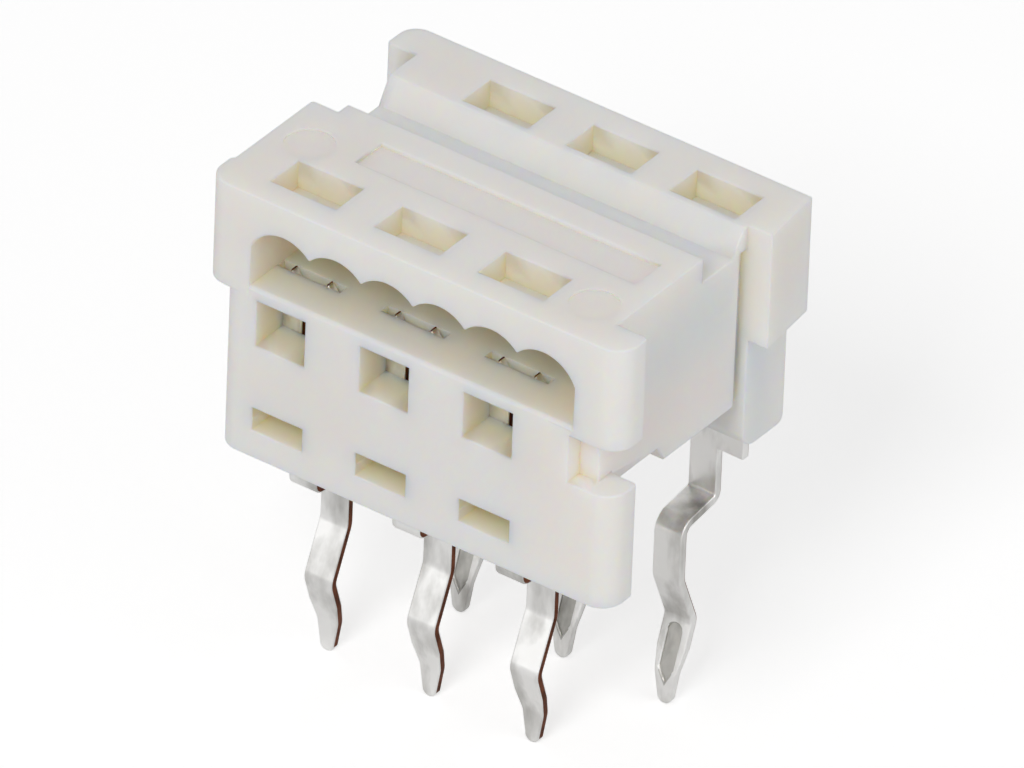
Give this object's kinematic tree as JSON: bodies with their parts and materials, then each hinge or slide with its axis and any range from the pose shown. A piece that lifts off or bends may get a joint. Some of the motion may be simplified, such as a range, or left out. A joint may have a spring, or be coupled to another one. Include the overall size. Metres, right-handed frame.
{
  "type": "insulation displacement cable connector",
  "caption": "Small board-in connector for flat ribbon cable, moulded in off-white plastic, with staggered rows of kinked tin-plated solder tails.",
  "frame": {"origin": "middle of the two rows of solder tails, at the height of the tails' tips", "axes": "+X along the rows and the cable slot, towards the end with the notched apron; +Y from the slot side to the back; +Z from the tips of the tails to the top"},
  "size_m": [0.0102, 0.007, 0.0117],
  "materials": {
    "housing_plastic": "satin moulded plastic, slightly translucent",
    "tinned_copper_alloy": "dull tin plating with bare copper-coloured cut edges"
  },
  "bodies": {
    "root": {"housing": "housing_plastic", "contact_front_left": "tinned_copper_alloy", "contact_front_middle": "tinned_copper_alloy", "contact_front_right": "tinned_copper_alloy", "contact_rear_left": "tinned_copper_alloy", "contact_rear_middle": "tinned_copper_alloy", "contact_rear_right": "tinned_copper_alloy"}
  },
  "joints": []
}
